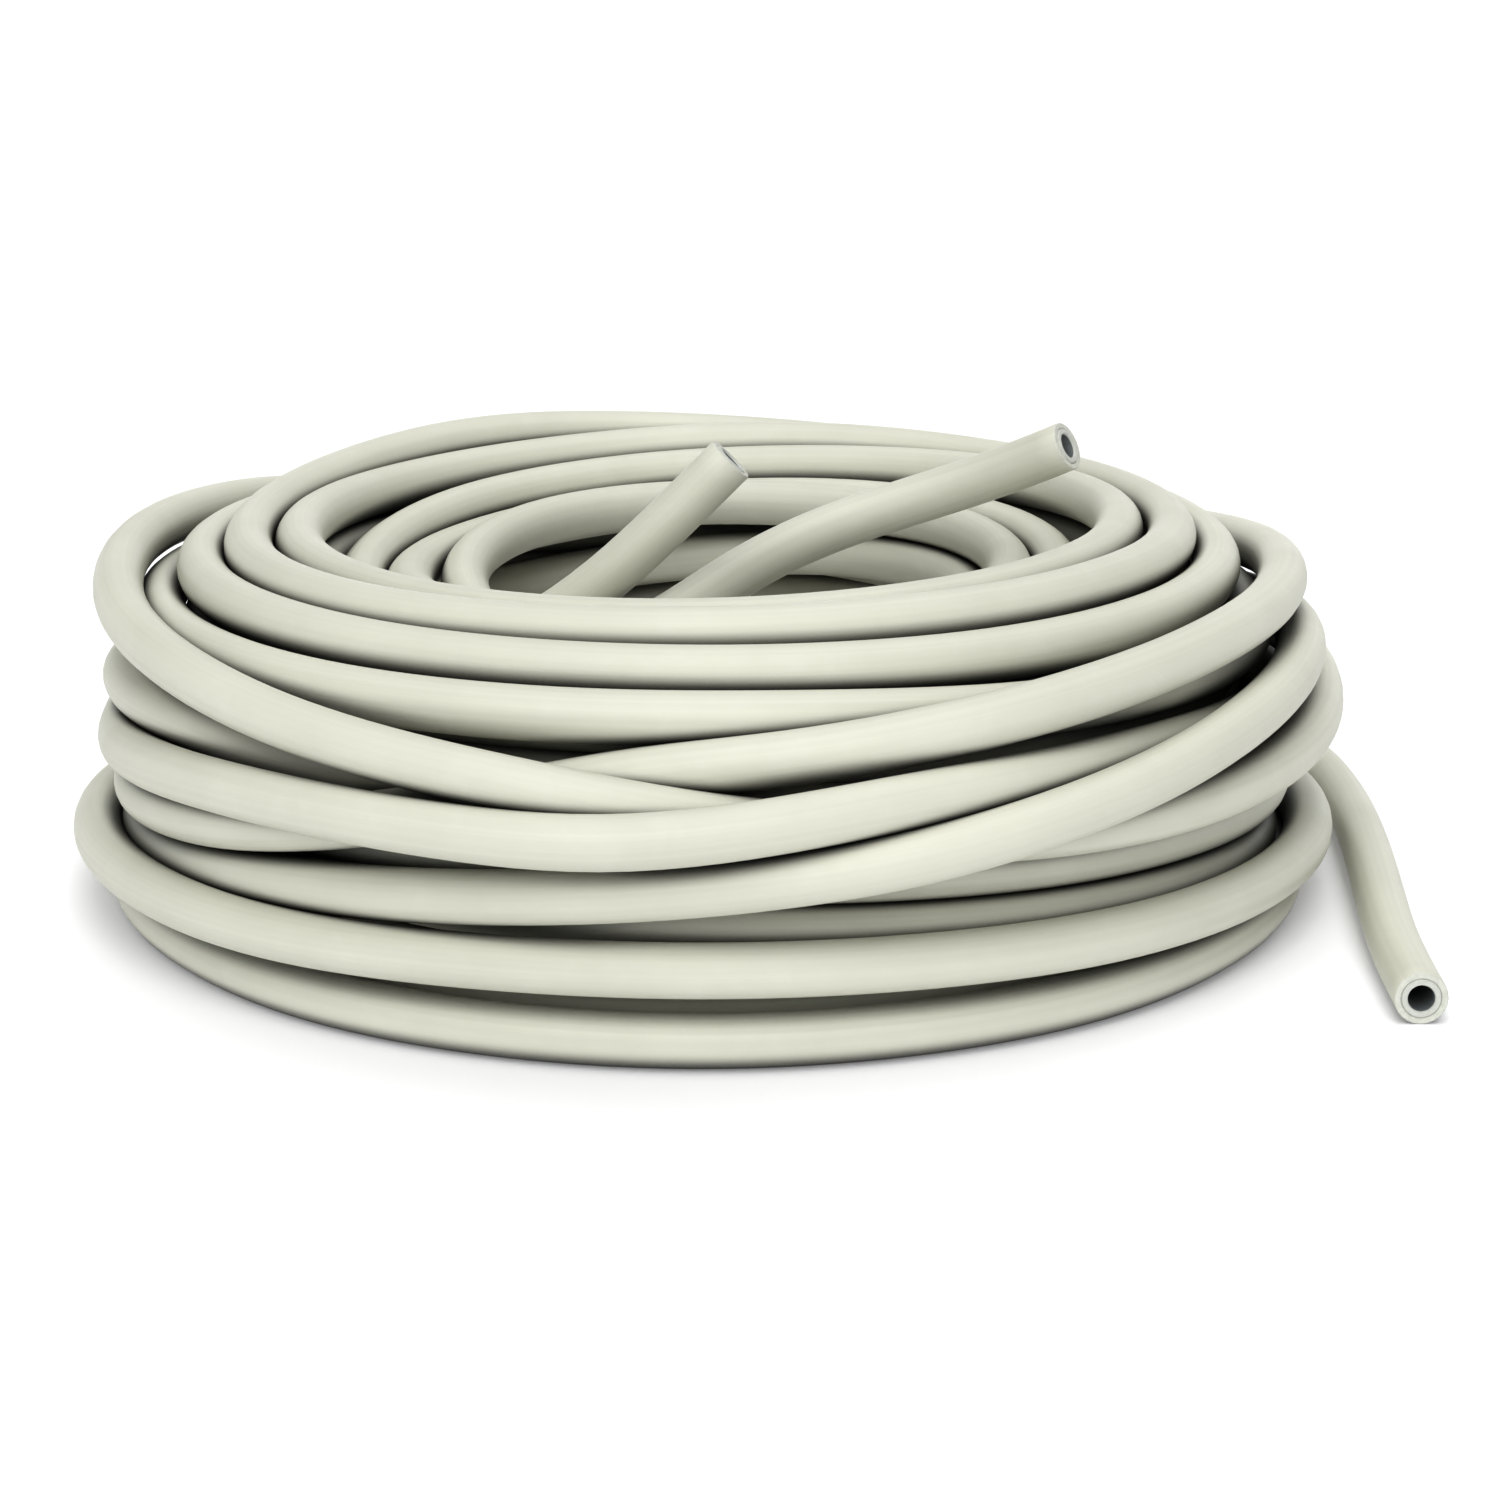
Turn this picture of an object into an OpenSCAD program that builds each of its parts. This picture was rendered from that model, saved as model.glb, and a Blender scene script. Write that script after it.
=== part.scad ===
// Two lengths of two-layer vacuum hose, wound together in one loose coil.
// The coil lies on its base. +Z is up and -Y is the front.

/* [Hose] */
// Outside diameter of the hose
hose_d = 12.7; // [12:0.1:13.4]
// Diameter where the outer cover meets the lining
lining_d = 9.5; // [8.6:0.1:10.4]
// Diameter of the bore
bore_d = 6.35; // [5:0.05:7.6]
// Length of the straight stretch behind each cut end
end_length = 20; // [12:1:24]

/* [Coil] */
// Outside radius of the coil
coil_r = 172; // [168:1:178]
// Radius of the open eye in the middle
eye_r = 62; // [58:1:66]
// Height where the second hose starts to lie on the first
split_z = 44; // [36:1:52]
// Height of the coil
coil_z = 98; // [92:1:101]
// How far the coil's shoulder is rounded
shoulder_r = 26; // [20:1:28]

/* [Hidden] */

cover_colour = [0.74, 0.75, 0.64];
lining_colour = [0.72, 0.77, 0.78];
coil_x = -5;
coil_y = -9;
hose_r = hose_d / 2;
rim_r = 14;
tube_sides = 12;
turn_fn = 120;
floor_z = hose_r;

// The free stretches, from inside the coil out to the cut face.
// Hose A's inner end: up out of the eye, leaning to the right.
A_IN = [
    [-94, 4, 49], [-90, -18, 52], [-78, -37, 58], [-59, -50, 67], [-36, -53, 81], [0, -53, 117]
];
// Hose A's outer end: round the back and along the right side, on the floor.
A_OUT = [
    [-34, 152, floor_z], [-6, 155, floor_z], [32, 158, floor_z], [70, 156, floor_z],
    [104, 148, floor_z], [134, 131, floor_z], [156, 104, floor_z], [166, 73, floor_z],
    [169, 41, floor_z], [169, 5, floor_z], [167, -30, floor_z], [164, -66, floor_z],
    [161, -103, floor_z], [161, -143, floor_z]
];
// Hose B's inner end: out of the front of the eye and over the right-hand turns.
B_IN = [
    [-108, -40, 50], [-99, -56, 53], [-84, -69, 57], [-66, -75, 62], [-48, -75, 66],
    [-30, -69, 71], [-18, -60, 75], [-9, -48, 79], [-1, -34, 83], [14, -18, 88],
    [30, -10, 93], [48, -8, 98], [65, -12, 103], [86, -24, 115]
];
// Hose B's outer end: down behind the coil to the floor.
B_OUT = [
    [-162, 45, 41], [-148, 84, 36], [-128, 118, 28], [-102, 146, 18], [-72, 165, 10],
    [-40, 176, floor_z], [-2, 176, floor_z]
];

function unit(v) = v / norm(v);
function last(list) = list[len(list) - 1];
function end_axis(route) = unit(last(route) - route[len(route) - 2]);
function end_base(route) = last(route) - end_length * end_axis(route);
function tube_route(route) = [
    for (i = [0:len(route) - 2]) route[i],
    end_base(route)
];
function heading(route, i) =
    i == 0 ? unit(route[1] - route[0])
    : i == len(route) - 1 ? unit(route[i] - route[i - 1])
    : unit(unit(route[i + 1] - route[i]) + unit(route[i] - route[i - 1]));
function ring(route, i) =
    let (
        ahead = heading(route, i),
        side = unit(cross(ahead, [0, 0, 1])),
        above = cross(side, ahead)
    )
    [
        for (k = [0:tube_sides - 1])
            let (turn = 360 * k / tube_sides)
            route[i] + hose_r * (cos(turn) * side + sin(turn) * above)
    ];

// A closed tube along the free stretch, up to the straight end.
module lead(route) {
    path = tube_route(route);
    rings = len(path);
    points = [for (i = [0:rings - 1]) each ring(path, i)];
    walls = [
        for (i = [0:rings - 2], k = [0:tube_sides - 1])
            let (next = (k + 1) % tube_sides)
            [
                i * tube_sides + k, i * tube_sides + next,
                (i + 1) * tube_sides + next, (i + 1) * tube_sides + k
            ]
    ];
    near_cap = [for (k = [tube_sides - 1:-1:0]) k];
    far_cap = [for (k = [0:tube_sides - 1]) (rings - 1) * tube_sides + k];
    color(cover_colour) polyhedron(points, concat([near_cap], walls, [far_cap]), convexity = 6);
}

// Puts its children on a route's straight end, with +Z out of the cut face.
module at_end(route) {
    axis = end_axis(route);
    translate(end_base(route))
        rotate([0, acos(axis.z), atan2(axis.y, axis.x)])
            children();
}

module sleeve(outer_d, inner_d) {
    difference() {
        cylinder(h = end_length, d = outer_d, $fn = 64);
        translate([0, 0, -1]) cylinder(h = end_length + 2, d = inner_d, $fn = 64);
    }
}

module end_cover(route) {
    color(cover_colour) at_end(route) sleeve(hose_d, lining_d);
}

module end_lining(route) {
    color(lining_colour) at_end(route) sleeve(lining_d, bore_d);
}

// A quarter disc of the given radius in the corner that sx and sy point to.
module corner(x, y, r, sx, sy) {
    translate([x - sx * r, y - sy * r]) circle(r, $fn = 64);
}

// The outline that the turns fill: square below, rounded by low_r, rim_r and top_r.
module coil_outline(bottom, top, low_r, inner_r, outer_r) {
    difference() {
        translate([eye_r, bottom]) square([coil_r - eye_r, top - bottom]);
        translate([eye_r - 1, bottom - 1]) square(low_r + 1);
        translate([coil_r - low_r, bottom - 1]) square(low_r + 1);
        translate([eye_r - 1, top - inner_r]) square(inner_r + 1);
        translate([coil_r - outer_r, top - outer_r]) square(outer_r + 1);
    }
    corner(eye_r, bottom, low_r, -1, -1);
    corner(coil_r, bottom, low_r, 1, -1);
    corner(eye_r, top, inner_r, -1, 1);
    corner(coil_r, top, outer_r, 1, 1);
}

module coil(bottom, top, low_r, inner_r, outer_r) {
    color(cover_colour)
        translate([coil_x, coil_y, 0])
            rotate_extrude($fn = turn_fn)
                coil_outline(bottom, top, low_r, inner_r, outer_r);
}

module lower_coil() { coil(0, split_z, hose_r, hose_r, hose_r); }
module upper_coil() { coil(split_z, coil_z, hose_r, rim_r, shoulder_r); }

lower_coil();
upper_coil();
lead(A_IN);  // hose_a_inner_lead
end_cover(A_IN);  // hose_a_inner_end_cover
end_lining(A_IN);  // hose_a_inner_end_lining
lead(A_OUT);  // hose_a_outer_lead
end_cover(A_OUT);  // hose_a_outer_end_cover
end_lining(A_OUT);  // hose_a_outer_end_lining
lead(B_IN);  // hose_b_inner_lead
end_cover(B_IN);  // hose_b_inner_end_cover
end_lining(B_IN);  // hose_b_inner_end_lining
lead(B_OUT);  // hose_b_outer_lead
end_cover(B_OUT);  // hose_b_outer_end_cover
end_lining(B_OUT);  // hose_b_outer_end_lining
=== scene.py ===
"""Two lengths of vacuum hose, wound together in one loose coil on a white floor."""

import math

import bpy
import numpy as np
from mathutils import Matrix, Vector


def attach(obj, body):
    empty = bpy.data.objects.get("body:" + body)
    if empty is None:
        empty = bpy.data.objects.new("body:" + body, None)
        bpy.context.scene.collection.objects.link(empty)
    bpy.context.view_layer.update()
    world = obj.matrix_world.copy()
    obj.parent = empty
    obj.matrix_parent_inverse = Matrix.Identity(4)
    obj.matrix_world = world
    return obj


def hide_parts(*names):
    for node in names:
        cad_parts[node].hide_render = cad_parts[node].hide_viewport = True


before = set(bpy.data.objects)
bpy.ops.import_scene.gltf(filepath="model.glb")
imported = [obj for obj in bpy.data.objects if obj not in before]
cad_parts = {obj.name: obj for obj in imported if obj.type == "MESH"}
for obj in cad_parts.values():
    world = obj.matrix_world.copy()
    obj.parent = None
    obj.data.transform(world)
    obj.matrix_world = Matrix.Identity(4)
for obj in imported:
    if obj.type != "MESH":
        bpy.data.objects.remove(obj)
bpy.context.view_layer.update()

# Sizes, in metres.
HOSE_D = 0.0127
LINING_D = 0.0095
BORE_D = 0.00635
HOSE_R = HOSE_D / 2
END_LENGTH = 0.020
FLOOR_Z = HOSE_R

# The upright line that both hoses are wound about.
AXIS = np.array([-0.006, -0.005, 0.0])

# ---------------------------------------------------------------- camera

CAMERA_RISE = math.radians(15)
CAMERA_DISTANCE = 1.0
CAMERA_AIM = (0.0047, -0.005, 0.0293)
CAMERA_LENS = 90


def add_camera():
    data = bpy.data.cameras.new("camera")
    data.lens = CAMERA_LENS
    data.sensor_width = 36
    data.clip_start = 0.01
    camera = bpy.data.objects.new("camera", data)
    bpy.context.scene.collection.objects.link(camera)
    x, y, z = CAMERA_AIM
    camera.location = (
        x,
        y - CAMERA_DISTANCE * math.cos(CAMERA_RISE),
        z + CAMERA_DISTANCE * math.sin(CAMERA_RISE),
    )
    camera.rotation_euler = (math.pi / 2 - CAMERA_RISE, 0, 0)
    bpy.context.scene.camera = camera


# ---------------------------------------------------------------- routes

# The free stretches, from inside the coil out to the cut face, in metres.
# Hose A's inner end: up out of the eye, leaning to the right.
A_IN = [
    (-0.094, 0.004, 0.049), (-0.090, -0.018, 0.052), (-0.078, -0.037, 0.058),
    (-0.059, -0.050, 0.067), (-0.036, -0.053, 0.081), (0.000, -0.053, 0.117),
]
# Hose A's outer end: round the back and along the right side, on the floor.
A_OUT = [
    (-0.034, 0.152, FLOOR_Z), (-0.006, 0.155, FLOOR_Z), (0.032, 0.158, FLOOR_Z),
    (0.070, 0.156, FLOOR_Z), (0.104, 0.148, FLOOR_Z), (0.134, 0.131, FLOOR_Z),
    (0.156, 0.104, FLOOR_Z), (0.166, 0.073, FLOOR_Z), (0.169, 0.041, FLOOR_Z),
    (0.169, 0.005, FLOOR_Z), (0.167, -0.030, FLOOR_Z), (0.164, -0.066, FLOOR_Z),
    (0.161, -0.103, FLOOR_Z), (0.161, -0.143, FLOOR_Z),
]
# Hose B's inner end: out of the front of the eye and over the right-hand turns.
B_IN = [
    (-0.108, -0.040, 0.050), (-0.099, -0.056, 0.053), (-0.084, -0.069, 0.057),
    (-0.066, -0.075, 0.062), (-0.048, -0.075, 0.066), (-0.030, -0.069, 0.071),
    (-0.018, -0.060, 0.075), (-0.009, -0.048, 0.079), (-0.001, -0.034, 0.083),
    (0.014, -0.018, 0.088), (0.030, -0.010, 0.093), (0.048, -0.008, 0.098),
    (0.065, -0.012, 0.103), (0.086, -0.024, 0.115),
]
# Hose B's outer end: down behind the coil to the floor.
B_OUT = [
    (-0.162, 0.045, 0.041), (-0.148, 0.084, 0.036), (-0.128, 0.118, 0.028),
    (-0.102, 0.146, 0.018), (-0.072, 0.165, 0.010), (-0.040, 0.176, FLOOR_Z),
    (-0.002, 0.176, FLOOR_Z),
]

# Each row drives one turn: its radius, its height, and how much higher than that its right side
# and its front lie, all in hose diameters. The turn's points are worked out from these by a loop.
OUTER_A = [
    (12.3, 0.5, 0.0, 0.0),
]
MIDDLE_A = [
    (11.7, 1.9, -0.7, 0.7),
    (12.5, 1.2, -0.3, 0.8),
    (11.4, 0.5, 0.0, 0.0),
    (11.2, 1.4, 0.0, 0.0),
    (11.7, 2.7, -0.5, 0.7),
    (12.4, 3.4, 2.0, 0.2),
]
END_A = [
    (6.5, 3.6, 0.0, 0.0),
]
OUTER_B = [
    (12.3, 3.6, 0.2, 1.0),
    (11.9, 3.6, -0.5, 0.7),
    (12.1, 4.1, 2.1, 1.1),
    (12.3, 5.3, -1.3, -0.6),
    (11.4, 4.2, -0.2, 0.0),
    (11.0, 4.7, 0.1, 0.2),
    (11.7, 5.6, -0.3, 0.3),
    (10.8, 5.6, 0.0, 0.0),
]
TOP_B = [
    (10.7, 6.4, -0.2, 0.0),
    (9.9, 6.9, 0.2, 0.3),
    (8.8, 6.9, 0.3, 0.1),
    (7.4, 5.8, 0.3, -0.5),
    (6.5, 5.8, 0.1, -0.4),
    (5.8, 5.7, -0.3, -0.5),
]
END_B = [
    (8.5, 4.3, 0.0, 0.0),
]
# Hidden turns, layer by layer: the first and last turn's (radius, height) and how many there are.
BOTTOM_A = ((10.6, 0.5), (6.6, 0.5), 4)
SECOND_A = ((7.0, 1.4), (10.4, 1.4), 3)
THIRD_A = ((10.4, 4.0), (6.8, 2.4), 5)
INWARD_B = ((10.0, 5.0), (7.2, 4.0), 3)
OUTWARD_B = ((7.8, 4.8), (10.2, 6.0), 2)
SEED = 7

# Angles are in degrees, counterclockwise from the right, so the front is at 270.
STATION_ANGLE = 30
LEFT_ANGLE = 180
FIRST_ANGLE_A = 120

# A point's hold says how firmly it stays in place when the turns are settled: 0 is free, 1 is
# firm, and LOCKED is for the free ends, which don't move. A row holds most at the front.
LOCKED = 2.0
MEAN_HOLD = 0.65
FRONT_HOLD = 0.35

# Wide turns lie forward and are deeper from front to back than from side to side. Tight turns lie
# further back and are round.
TIGHT_RADIUS = 6.0
WIDE_RADIUS = 12.0
BACKWARD = 0.6
FORWARD = 0.5
OVAL = 0.5
WANDER = 0.25
# The height of a hose that lies on the floor.
FLOOR_HEIGHT = 0.5


def layer(first, last, count, draw):
    """Rows for hidden turns, from (radius, height) first to last, wandering a little."""
    rows = []
    for turn in range(count):
        share = (turn + 0.5) / count
        radius = first[0] + share * (last[0] - first[0])
        height = first[1] + share * (last[1] - first[1])
        wander = draw.uniform(-WANDER, WANDER, 4)
        rows.append((radius + wander[0], height + wander[1], wander[2], wander[3]))
    return rows


def outline(radius, angle):
    """A turn's own radius at this angle, in radians."""
    wide = np.clip((radius - TIGHT_RADIUS) / (WIDE_RADIUS - TIGHT_RADIUS), 0, 1)
    shift = wide * (FORWARD + BACKWARD) - BACKWARD
    return radius - shift * math.sin(angle) - wide * OVAL * math.cos(2 * angle)


def turn_points(rows, first_angle, last_angle):
    """The turns as x, y, z and hold. A row applies from the left round the front to the right,
    and changes smoothly to the next one round the back. A row's fifth value is its hold."""
    points = []
    for degrees in range(first_angle, last_angle + 1, STATION_ANGLE):
        turn, past_left = divmod(degrees - LEFT_ANGLE, 360)
        share = max(0.0, past_left / 180 - 1)
        share = share * share * (3 - 2 * share)
        row = np.array(rows[max(turn, 0)])
        following = np.array(rows[min(turn + 1, len(rows) - 1)])
        radius, height, right, front, hold = row + share * (following - row)
        angle = math.radians(degrees)
        reach = outline(radius, angle)
        z = height + right * math.cos(angle) - front * math.sin(angle)
        hold *= MEAN_HOLD - FRONT_HOLD * math.sin(angle)
        z = max(z, FLOOR_HEIGHT)
        points.append((reach * math.cos(angle), reach * math.sin(angle), z, hold))
    return points


# A smooth line has PER_SPAN points for each of its given ones, and is then cut into even STEPs.
PER_SPAN = 16
STEP = 0.5


def smooth_points(points, per_span):
    """A smooth line through the points, with per_span points from each one to the next."""
    points = np.asarray(points, float)
    first = 2 * points[0] - points[1]
    last = 2 * points[-1] - points[-2]
    padded = np.vstack([first, points, last])
    t = np.linspace(0, 1, per_span, endpoint=False)[:, None]
    spans = []
    for i in range(len(points) - 1):
        before, start, end, after = padded[i:i + 4]
        leave = (end - before) / 2
        arrive = (after - start) / 2
        spans.append(
            (2 * t**3 - 3 * t**2 + 1) * start
            + (t**3 - 2 * t**2 + t) * leave
            + (3 * t**2 - 2 * t**3) * end
            + (t**3 - t**2) * arrive
        )
    spans.append(points[-1:])
    return np.vstack(spans)


def distance_along(points):
    """How far along the line each point is."""
    steps = np.linalg.norm(np.diff(points[:, :3], axis=0), axis=1)
    return np.concatenate([[0], np.cumsum(steps)])


def spaced(points, step):
    """The line again, with its points one step apart."""
    along = distance_along(points)
    at = np.linspace(0, along[-1], int(round(along[-1] / step)) + 1)
    columns = [np.interp(at, along, points[:, k]) for k in range(points.shape[1])]
    return np.stack(columns, axis=1)


def softened(points, rounds):
    """Rounds off a line's corners. Its ends stay straight and in place."""
    points = points.copy()
    for _ in range(rounds):
        points[1:-1] = 0.5 * points[1:-1] + 0.25 * (points[:-2] + points[2:])
    return points


def with_straight_end(route):
    """The route with two more points, where its straight end starts and half way along that."""
    back = route[-2] - route[-1]
    back /= np.linalg.norm(back)
    base = route[-1] + END_LENGTH * back
    return np.vstack([route[:-1], base, (base + route[-1]) / 2, route[-1]])


def wound(turns, outer_route, inner_route):
    """One hose's line as x, y, z and hold, in diameters about the axis, from its outer end."""
    ends = []
    for route in (outer_route, inner_route):
        points = (with_straight_end(np.array(route)) - AXIS) / HOSE_D
        ends.append(np.hstack([points, np.full((len(points), 1), LOCKED)]))
    line = smooth_points(np.vstack([ends[0][::-1], turns, ends[1]]), PER_SPAN)
    return spaced(line, STEP)


# ---------------------------------------------------------------- settling

GAP = 1.01
SOFTEN_ROUNDS = 12
SETTLE_ROUNDS = 300
PAIR_ROUNDS = 12
FINAL_ROUNDS = 6
REACH = 1.7
NEIGHBOURS = 8
BLOCK = 512
# How much firm points yield less than free ones, how fully a clash is undone in one round, the
# most that a point moves in one, how strongly it is pulled back, and until when.
FIRMNESS = 0.9
RELIEF = 0.8
MOST_PUSH = 0.15
PULL = 0.05
PULL_UNTIL = 0.75


def close_pairs(points, hose):
    """Every two points that are within reach of each other and aren't neighbours on one hose."""
    found = []
    squares = (points**2).sum(axis=1)
    numbers = np.arange(len(points))
    for low in range(0, len(points), BLOCK):
        block = slice(low, low + BLOCK)
        apart = squares[block, None] + squares[None, :] - 2 * points[block] @ points.T
        i, j = np.nonzero(apart < REACH**2)
        i = numbers[block][i]
        keep = j > i
        found.append(np.stack([i[keep], j[keep]], axis=1))
    pairs = np.vstack(found)
    i, j = pairs.T
    neighbours = (hose[i] == hose[j]) & (np.abs(i - j) < NEIGHBOURS)
    return pairs[~neighbours].T


def pushes(points, pairs, ease):
    """How far each point is pushed by the others that it is too close to."""
    first, second = pairs
    between = points[first] - points[second]
    apart = np.linalg.norm(between, axis=1)
    hit = apart < GAP
    i, j = first[hit], second[hit]
    push = RELIEF * (GAP / np.maximum(apart[hit], 1e-6) - 1)[:, None] * between[hit]
    share = (ease[i] / (ease[i] + ease[j] + 1e-9))[:, None]
    shove = np.zeros_like(points)
    np.add.at(shove, i, push * share)
    np.add.at(shove, j, push * (share - 1))
    return np.clip(shove, -MOST_PUSH, MOST_PUSH)


def spread_out(moved, ends):
    """Evens out each line's moves along it, so that a push bends the hose gently."""
    for low, high in zip(ends[:-1], ends[1:]):
        middle = moved[low + 1:high - 1]
        around = moved[low:high - 2] + moved[low + 2:high]
        moved[low + 1:high - 1] = 0.5 * middle + 0.25 * around


def settled(lines):
    """The lines with their turns pushed clear of each other and of the floor."""
    counts = [len(line) for line in lines]
    ends = np.cumsum([0] + counts)
    hose = np.repeat(np.arange(len(lines)), counts)
    start = np.vstack([line[:, :3] for line in lines])
    hold = np.concatenate([line[:, 3] for line in lines])
    locked = hold > (1 + LOCKED) / 2
    hold = np.clip(hold, 0, 1)
    ease = np.where(locked, 0.0, 1 - FIRMNESS * hold)
    moved = np.zeros_like(start)
    for count in range(SETTLE_ROUNDS):
        points = start + moved
        if count % PAIR_ROUNDS == 0:
            pairs = close_pairs(points, hose)
        moved += pushes(points, pairs, ease)
        fade = max(0.0, 1 - count / (PULL_UNTIL * SETTLE_ROUNDS))
        moved *= 1 - (PULL * fade * hold)[:, None]
        moved[locked] = 0
        for _ in range(3):
            spread_out(moved, ends)
            moved[locked] = 0
        under = (start + moved)[:, 2] < FLOOR_HEIGHT
        moved[under, 2] = FLOOR_HEIGHT - start[under, 2]
    points = start + moved
    return [softened(points[low:high], FINAL_ROUNDS) for low, high in zip(ends[:-1], ends[1:])]


def with_hold(rows, hold):
    """The rows with a hold as their fifth value."""
    return [(*row, hold) for row in rows]


def hose_lines():
    """The two hoses' centrelines, in metres."""
    draw = np.random.default_rng(SEED)
    low_a = layer(*BOTTOM_A, draw) + layer(*SECOND_A, draw)
    high_a = layer(*THIRD_A, draw)
    inside_b = layer(*INWARD_B, draw) + layer(*OUTWARD_B, draw)
    rows_a = with_hold(OUTER_A, 1) + with_hold(low_a, 0)
    rows_a += with_hold(MIDDLE_A, 1) + with_hold(high_a + END_A, 0)
    rows_b = with_hold(OUTER_B, 1) + with_hold(inside_b, 0)
    rows_b += with_hold(TOP_B, 1) + with_hold(END_B, 0)
    last_angle_a = 360 * (len(rows_a) - 1) + LEFT_ANGLE - STATION_ANGLE
    last_angle_b = 360 * (len(rows_b) - 1) + LEFT_ANGLE
    turns_a = turn_points(rows_a, FIRST_ANGLE_A, last_angle_a)
    turns_b = turn_points(rows_b, LEFT_ANGLE, last_angle_b)
    line_a = softened(wound(turns_a, A_OUT, A_IN), SOFTEN_ROUNDS)
    line_b = softened(wound(turns_b, B_OUT, B_IN), SOFTEN_ROUNDS)
    return [AXIS + HOSE_D * line for line in settled([line_a, line_b])]


# ---------------------------------------------------------------- tubes

SIDES = 24
INNER_EVERY = 2
EDGE = 0.0003
LINING_RISE = 0.0002


def headings(points):
    """The line's direction at each of its points."""
    ahead = np.empty_like(points)
    ahead[1:-1] = points[2:] - points[:-2]
    ahead[0] = points[1] - points[0]
    ahead[-1] = points[-1] - points[-2]
    return ahead / np.linalg.norm(ahead, axis=1)[:, None]


def carried_frames(points):
    """For each point, two directions across the line, carried along it without twisting."""
    ahead = headings(points)
    side = np.cross(ahead[0], (0, 0, 1.0))
    side /= np.linalg.norm(side)
    sides = np.empty_like(points)
    for i, heading in enumerate(ahead):
        side = side - heading * (side @ heading)
        side /= np.linalg.norm(side)
        sides[i] = side
    return sides, np.cross(sides, ahead)


def ring_points(centres, sides, ups, radii):
    """SIDES points round each centre."""
    angle = 2 * np.pi * np.arange(SIDES) / SIDES
    across = np.cos(angle)[None, :, None] * sides[:, None, :]
    across = across + np.sin(angle)[None, :, None] * ups[:, None, :]
    return centres[:, None, :] + radii[:, :, None] * across


def wall_rings(points, radius, every, edge):
    """One wall's rings: their centres' numbers, shifts along the line and radii. Both ends are
    bevelled by edge, which is negative for the inside of a wall."""
    inside = np.arange(every, len(points) - 1, every)
    numbers = np.concatenate([[0, 0], inside, [len(points) - 1] * 2])
    shift = np.zeros(len(numbers))
    shift[1] = abs(edge)
    shift[-2] = -abs(edge)
    radii = np.full(len(numbers), radius)
    radii[0] -= edge
    radii[-1] -= edge
    return numbers, shift, radii


def tube_faces(outside, total):
    """Faces between rings that lie outside first and then inside, and the two cut faces last."""
    k = np.arange(SIDES)
    following = (k + 1) % SIDES
    bands = [(ring, ring + 1) for ring in range(outside - 1)]
    bands += [(ring + 1, ring) for ring in range(outside, total - 1)]
    bands += [(outside, 0), (outside - 1, total - 1)]
    faces = []
    for lower, upper in bands:
        a, b = lower * SIDES, upper * SIDES
        faces.append(np.stack([a + k, a + following, b + following, b + k], axis=1))
    return np.concatenate(faces)


def finish_cuts(mesh, outside, bands):
    """Gives the cut faces and their bevels the second material. Only the cut faces are flat."""
    for band in (0, outside - 2, outside - 1, bands - 3, bands - 2, bands - 1):
        for face in range(band * SIDES, (band + 1) * SIDES):
            mesh.polygons[face].material_index = 1
            mesh.polygons[face].use_smooth = band < bands - 2


def add_hose_wall(name, points, outer, inner, outer_every, inner_every, rise):
    """A closed tube of hose with a wall: the outside, the inside, and the two cut faces.
    rise is how far its cut faces stand out of the cut."""
    sides, ups = carried_frames(points)
    ahead = headings(points)
    along = distance_along(points)
    walls = []
    lengths = []
    for radius, every, edge in ((outer, outer_every, EDGE), (inner, inner_every, -EDGE)):
        numbers, shift, radii = wall_rings(points, radius, every, edge)
        centres = points[numbers] + shift[:, None] * ahead[numbers]
        centres[0] -= rise * ahead[0]
        centres[-1] += rise * ahead[-1]
        radii = np.repeat(radii[:, None], SIDES, axis=1)
        walls.append(ring_points(centres, sides[numbers], ups[numbers], radii))
        lengths.append(along[numbers] + shift)
    rings = np.concatenate(walls)
    faces = tube_faces(len(walls[0]), len(rings))
    mesh = bpy.data.meshes.new(name)
    mesh.from_pydata(rings.reshape(-1, 3), [], faces.tolist())
    around = np.tile(np.arange(SIDES) / SIDES, len(rings))
    add_map(mesh, faces, around, np.repeat(np.concatenate(lengths), SIDES))
    mesh.polygons.foreach_set("use_smooth", np.ones(len(mesh.polygons), bool))
    finish_cuts(mesh, len(walls[0]), len(faces) // SIDES)
    mesh.update()
    piece = bpy.data.objects.new(name, mesh)
    bpy.context.scene.collection.objects.link(piece)
    return piece


def add_map(mesh, faces, around, along):
    """A map of the tube: its u goes once round the hose and its v along the hose in metres."""
    u = around[faces]
    last = u.max(axis=1) - u.min(axis=1) > 0.5
    u[last] = np.where(u[last] < 0.5, u[last] + 1, u[last])
    v = along[faces]
    layer = mesh.uv_layers.new(name="hose_map")
    layer.data.foreach_set("uv", np.stack([u, v], axis=2).ravel())


# ---------------------------------------------------------------- materials

CREASE_DEPTH = 0.009
COVER_DARK = (0.61, 0.61, 0.53)
COVER_LIGHT = (0.665, 0.663, 0.58)
BLOOM = (0.70, 0.70, 0.63)
COVER_CUT_LIGHT = (0.64, 0.645, 0.59)
COVER_CUT_DARK = (0.56, 0.565, 0.51)
# Painted shade: the lining inside the bore is coloured dark, in place of its own bluish white.
LINING_SHADE_DARK = (0.14, 0.155, 0.155)
LINING_SHADE_PALE = (0.19, 0.205, 0.205)
LINING_CUT_LIGHT = (0.60, 0.61, 0.57)
LINING_CUT_DARK = (0.53, 0.54, 0.50)
FLOOR_COLOUR = (0.78, 0.78, 0.79, 1)
FLOOR_GLOW = 0.18
WHITE = (1, 1, 1, 1)


def new_material(name):
    material = bpy.data.materials.new(name)
    material.use_nodes = True
    tree = material.node_tree
    shader = tree.nodes["Principled BSDF"]
    return material, tree, shader


def place_node(tree):
    return tree.nodes.new("ShaderNodeTexCoord").outputs["Object"]


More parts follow.
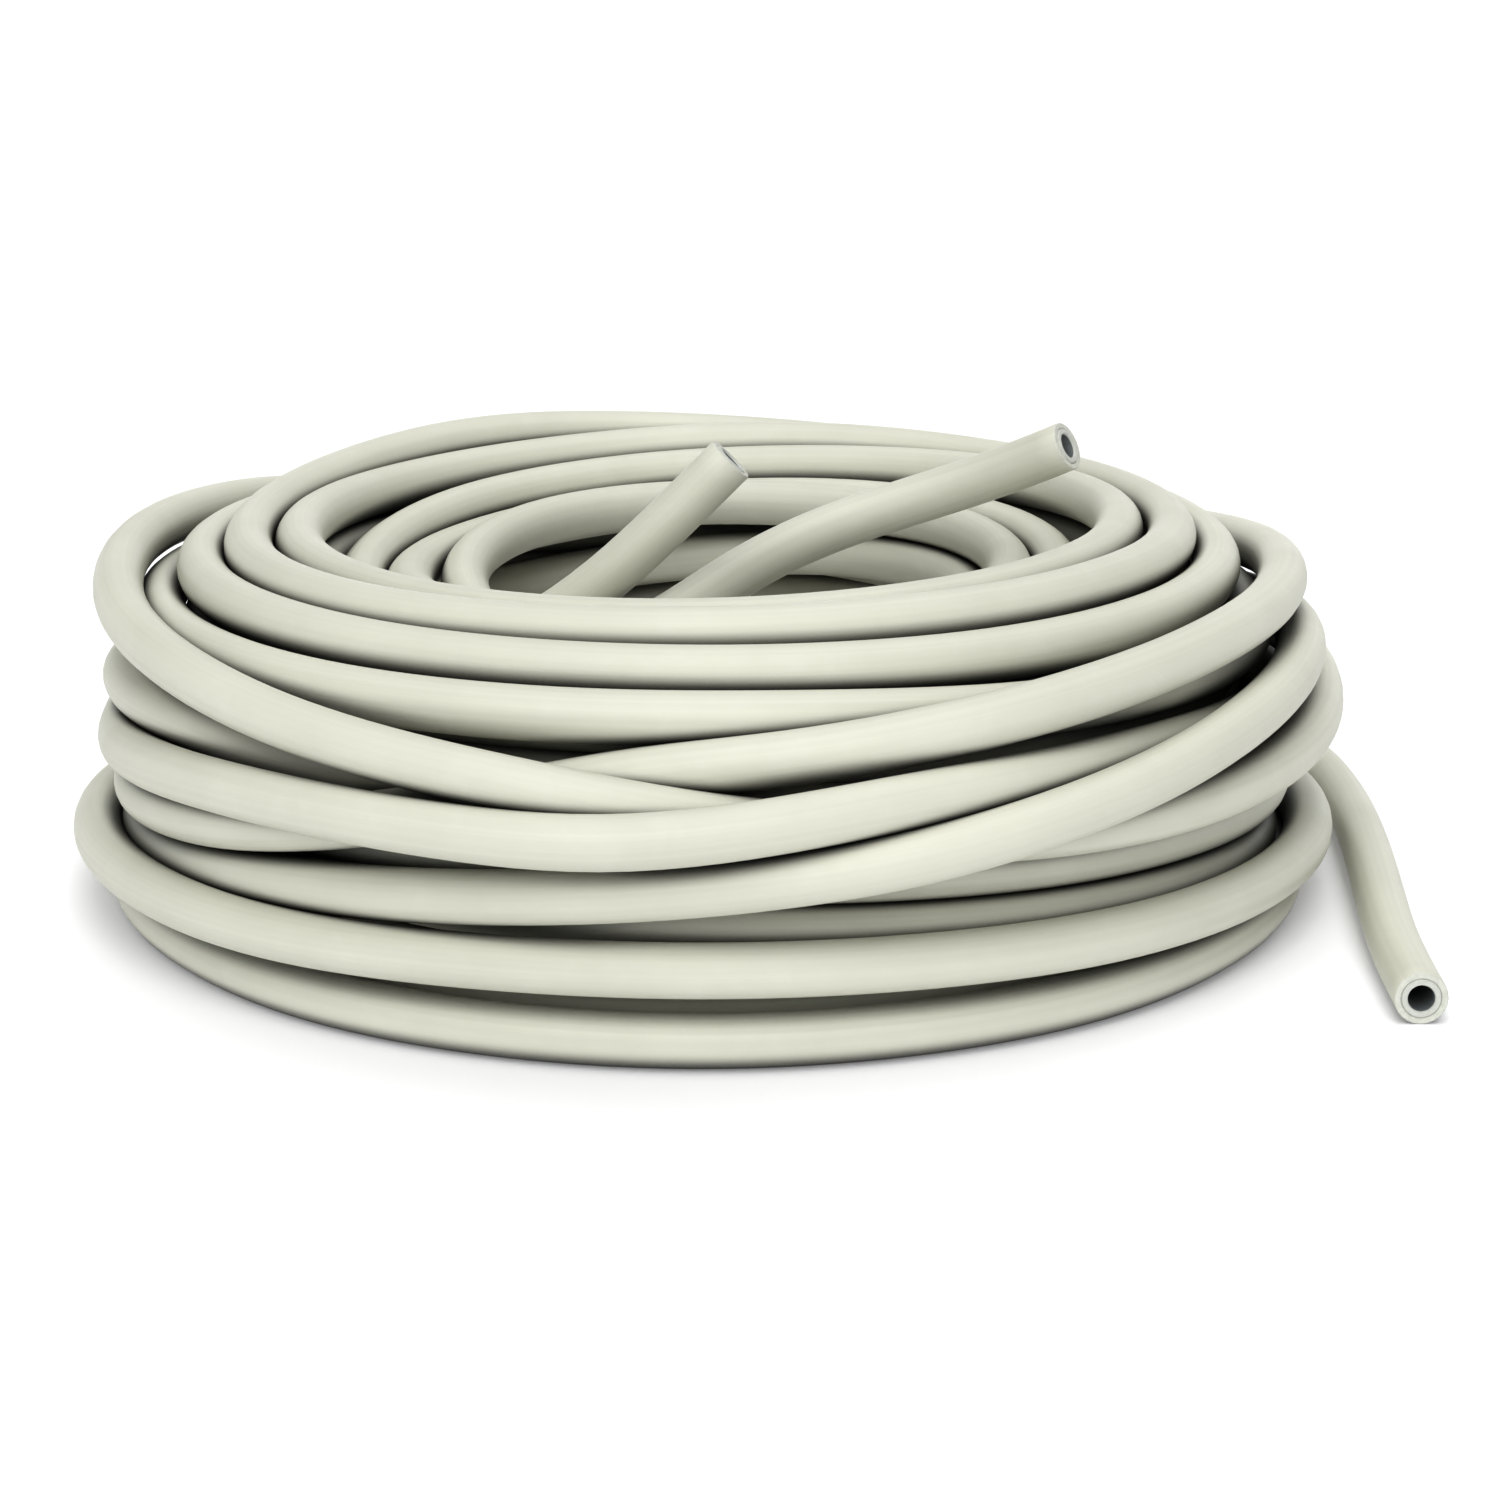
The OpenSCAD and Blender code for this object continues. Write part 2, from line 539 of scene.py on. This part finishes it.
def map_node(tree, scale):
    """The tube's own map, stretched by scale."""
    source = tree.nodes.new("ShaderNodeUVMap")
    source.uv_map = "hose_map"
    mapping = tree.nodes.new("ShaderNodeMapping")
    mapping.inputs["Scale"].default_value = scale
    tree.links.new(source.outputs["UV"], mapping.inputs["Vector"])
    return mapping.outputs["Vector"]


def noise(tree, vector, scale, detail=3.0, roughness=0.5):
    node = tree.nodes.new("ShaderNodeTexNoise")
    node.inputs["Scale"].default_value = scale
    node.inputs["Detail"].default_value = detail
    node.inputs["Roughness"].default_value = roughness
    tree.links.new(vector, node.inputs["Vector"])
    return node.outputs["Fac"]


def ramp(tree, source, stops):
    """A colour or value for each share of the source, from (place, value) stops."""
    node = tree.nodes.new("ShaderNodeValToRGB")
    elements = node.color_ramp.elements
    while len(elements) < len(stops):
        elements.new(0.5)
    for element, (place, value) in zip(elements, stops):
        element.position = place
        colour = value if isinstance(value, tuple) else (value,) * 3
        element.color = (*colour, 1)
    tree.links.new(source, node.inputs["Fac"])
    return node.outputs["Color"]


def mixed(tree, share, first, second, blend="MIX"):
    node = tree.nodes.new("ShaderNodeMix")
    node.data_type = "RGBA"
    node.blend_type = blend
    for socket, value in ((node.inputs[0], share), (node.inputs[6], first), (node.inputs[7], second)):
        if isinstance(value, (tuple, float, int)):
            socket.default_value = (*value, 1) if isinstance(value, tuple) else value
        else:
            tree.links.new(value, socket)
    return node.outputs[2]


def bumped(tree, height, strength, distance, normal=None):
    node = tree.nodes.new("ShaderNodeBump")
    node.inputs["Strength"].default_value = strength
    node.inputs["Distance"].default_value = distance
    tree.links.new(height, node.inputs["Height"])
    if normal is not None:
        tree.links.new(normal, node.inputs["Normal"])
    return node.outputs["Normal"]


def crease_shade(tree):
    """Painted shade: darkens the colour in the creases between turns, wherever other hose is close
    by.
    """
    node = tree.nodes.new("ShaderNodeAmbientOcclusion")
    node.samples = 8
    node.inputs["Distance"].default_value = CREASE_DEPTH
    return ramp(tree, node.outputs["AO"], [(0.1, 0.03), (0.35, 0.35), (0.7, 1.0)])


def cover_material():
    """Satin rubber, drawn out in the die: faint streaks along it, patches of bloom, fine grain, and
    painted shade darkening the creases between turns.
    """
    material, tree, shader = new_material("cover")
    place = place_node(tree)
    patches = noise(tree, place, 14, 4, 0.6)
    base = ramp(tree, patches, [(0.3, COVER_DARK), (0.7, COVER_LIGHT)])
    cloud = noise(tree, place, 90, 5, 0.6)
    bloom = ramp(tree, cloud, [(0.55, 0.0), (0.85, 0.35)])
    base = mixed(tree, bloom, base, BLOOM)
    streaks = noise(tree, map_node(tree, (30, 1.5, 1)), 1.0, 2, 0.5)
    tone = ramp(tree, streaks, [(0.3, 0.95), (0.7, 1.0)])
    base = mixed(tree, 1.0, base, tone, "MULTIPLY")
    # Painted shade: the colour is multiplied darker in the creases between turns.
    base = mixed(tree, 1.0, base, crease_shade(tree), "MULTIPLY")
    tree.links.new(base, shader.inputs["Base Color"])
    rough = ramp(tree, noise(tree, place, 35, 4, 0.6), [(0.3, 0.42), (0.7, 0.52)])
    tree.links.new(rough, shader.inputs["Roughness"])
    grain = noise(tree, place, 1400, 2, 0.5)
    normal = bumped(tree, grain, 0.12, 0.0002)
    normal = bumped(tree, streaks, 0.1, 0.0004, normal)
    swell = noise(tree, place, 60, 2, 0.5)
    normal = bumped(tree, swell, 0.12, 0.001, normal)
    tree.links.new(normal, shader.inputs["Normal"])
    shader.inputs["Specular IOR Level"].default_value = 0.45
    return material


def cut_material(name, light, dark):
    """The cut face of a rubber layer: matte, with the marks of the blade."""
    material, tree, shader = new_material(name)
    place = place_node(tree)
    tone = noise(tree, place, 900, 4, 0.6)
    base = ramp(tree, tone, [(0.3, dark), (0.7, light)])
    tree.links.new(base, shader.inputs["Base Color"])
    marks = noise(tree, place, 2600, 3, 0.6)
    normal = bumped(tree, marks, 0.35, 0.0002)
    tree.links.new(normal, shader.inputs["Normal"])
    shader.inputs["Roughness"].default_value = 0.7
    return material


def lining_material():
    """Smooth, with faint rings along the bore. Its colour is painted shade: far darker than the
    lining's own bluish white, so that the bore looks unlit.
    """
    material, tree, shader = new_material("lining")
    place = place_node(tree)
    tone = noise(tree, place, 160, 3, 0.5)
    base = ramp(tree, tone, [(0.3, LINING_SHADE_DARK), (0.7, LINING_SHADE_PALE)])
    tree.links.new(base, shader.inputs["Base Color"])
    waves = noise(tree, map_node(tree, (2, 400, 1)), 1.0, 2, 0.5)
    normal = bumped(tree, waves, 0.1, 0.0002)
    tree.links.new(normal, shader.inputs["Normal"])
    shader.inputs["Roughness"].default_value = 0.4
    return material


def floor_material():
    """White, with a faint glow that keeps its shadows light."""
    material, tree, shader = new_material("floor")
    shader.inputs["Base Color"].default_value = FLOOR_COLOUR
    shader.inputs["Emission Color"].default_value = WHITE
    shader.inputs["Emission Strength"].default_value = FLOOR_GLOW
    shader.inputs["Roughness"].default_value = 0.9
    shader.inputs["Specular IOR Level"].default_value = 0.1
    return material


# ---------------------------------------------------------------- stage

FLOOR_REACH = 12
WALL_LIGHT = 0.85
SKY_LIGHT = 0.1
WALL_TINT = (0.96, 0.98, 1.0, 1)
SUN_SPREAD = 60
EXPOSURE = 0.3
GAMMA = 0.75


def add_floor():
    reach = FLOOR_REACH
    corners = [(-reach, -reach, 0), (reach, -reach, 0), (reach, reach, 0), (-reach, reach, 0)]
    mesh = bpy.data.meshes.new("floor")
    mesh.from_pydata(corners, [], [(0, 1, 2, 3)])
    mesh.materials.append(floor_material())
    floor = bpy.data.objects.new("floor", mesh)
    bpy.context.scene.collection.objects.link(floor)


def add_sun(name, place, strength):
    """An even light from the side of place, as soft as a lamp that fills SUN_SPREAD degrees."""
    data = bpy.data.lights.new(name, "SUN")
    data.angle = math.radians(SUN_SPREAD)
    data.energy = strength
    light = bpy.data.objects.new(name, data)
    bpy.context.scene.collection.objects.link(light)
    light.location = place
    light.rotation_euler = (-Vector(place)).to_track_quat("-Z", "Y").to_euler()


def add_world():
    """A dim studio with a white wall all round it, seen just above the floor's edge."""
    world = bpy.data.worlds.new("world")
    world.use_nodes = True
    tree = world.node_tree
    background = tree.nodes["Background"]
    background.inputs["Color"].default_value = WALL_TINT
    split = tree.nodes.new("ShaderNodeSeparateXYZ")
    tree.links.new(tree.nodes.new("ShaderNodeTexCoord").outputs["Generated"], split.inputs["Vector"])
    wall = ramp(tree, split.outputs["Z"], [(0.0, WALL_LIGHT), (0.16, WALL_LIGHT), (0.3, SKY_LIGHT)])
    tree.links.new(wall, background.inputs["Strength"])
    bpy.context.scene.world = world


def add_lights():
    add_world()
    add_sun("key", (-0.3, -1.0, 1.1), 1.55)
    add_sun("front", (0.3, -1.0, 0.35), 0.5)
    add_sun("top", (0.1, 0.2, 1.2), 1.15)
    add_sun("back", (0.2, 1.0, 0.5), 0.5)


# ---------------------------------------------------------------- build

add_camera()
line_a, line_b = hose_lines()

cover = cover_material()
cover_cut = cut_material("cover_cut", COVER_CUT_LIGHT, COVER_CUT_DARK)
lining = lining_material()
lining_cut = cut_material("lining_cut", LINING_CUT_LIGHT, LINING_CUT_DARK)

for letter, line in (("a", line_a), ("b", line_b)):
    outside = add_hose_wall(
        f"hose_{letter}_cover", line, HOSE_R, LINING_D / 2, 1, INNER_EVERY, 0
    )
    outside.data.materials.append(cover)
    outside.data.materials.append(cover_cut)
    inside = add_hose_wall(
        f"hose_{letter}_lining", line, LINING_D / 2, BORE_D / 2, INNER_EVERY, INNER_EVERY, LINING_RISE
    )
    inside.data.materials.append(lining)
    inside.data.materials.append(lining_cut)
    coil = {"a": "lower_coil", "b": "upper_coil"}[letter]
    ends = [f"hose_{letter}_inner", f"hose_{letter}_outer"]
    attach(outside, "root")
    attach(inside, "root")
    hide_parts(coil, *[f"{end}_lead" for end in ends], *[f"{end}_end_cover" for end in ends])
    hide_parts(*[f"{end}_end_lining" for end in ends])

add_floor()
add_lights()
bpy.context.scene.view_settings.view_transform = "Standard"
bpy.context.scene.view_settings.exposure = EXPOSURE
bpy.context.scene.view_settings.gamma = GAMMA
